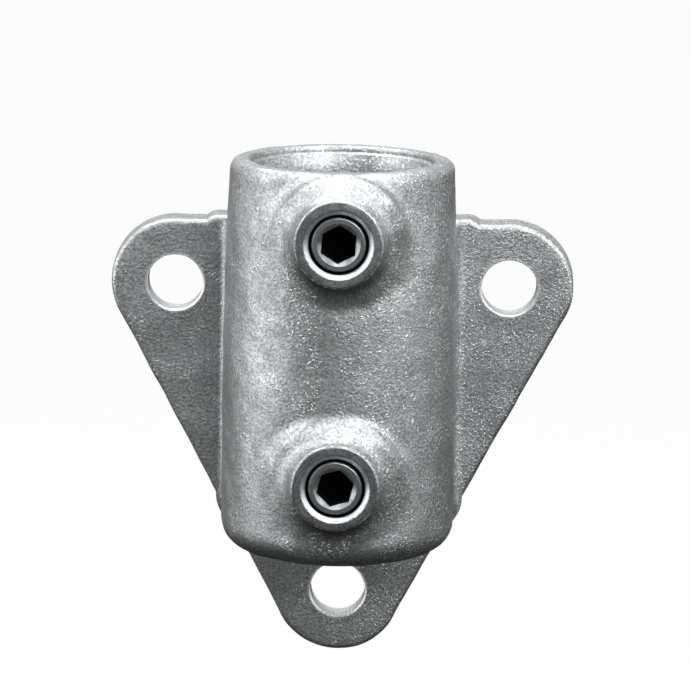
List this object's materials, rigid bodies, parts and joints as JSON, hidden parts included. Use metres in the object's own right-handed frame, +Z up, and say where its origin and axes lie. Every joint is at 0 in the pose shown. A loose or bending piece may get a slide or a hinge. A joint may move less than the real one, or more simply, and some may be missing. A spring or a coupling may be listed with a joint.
{
  "type": "side flange tube anchor",
  "caption": "Cast socket on a flange with rounded corners that holds the foot of an upright tube to the side of a wall or slab edge, clamped by set screws.",
  "frame": {"origin": "on the wall face, on the part's centreline, level with the centres of the upper pair of fixing holes", "axes": "+Z up along the socket, +Y into the wall, +X to the right as seen from in front"},
  "size_m": [0.1404, 0.077, 0.157],
  "materials": {
    "casting": "hot-dip galvanised, rough as cast",
    "set_screw": "plated steel, satin"
  },
  "bodies": {
    "root": {"casting": "casting", "set_screw_upper": "set_screw", "set_screw_lower": "set_screw"}
  },
  "joints": []
}
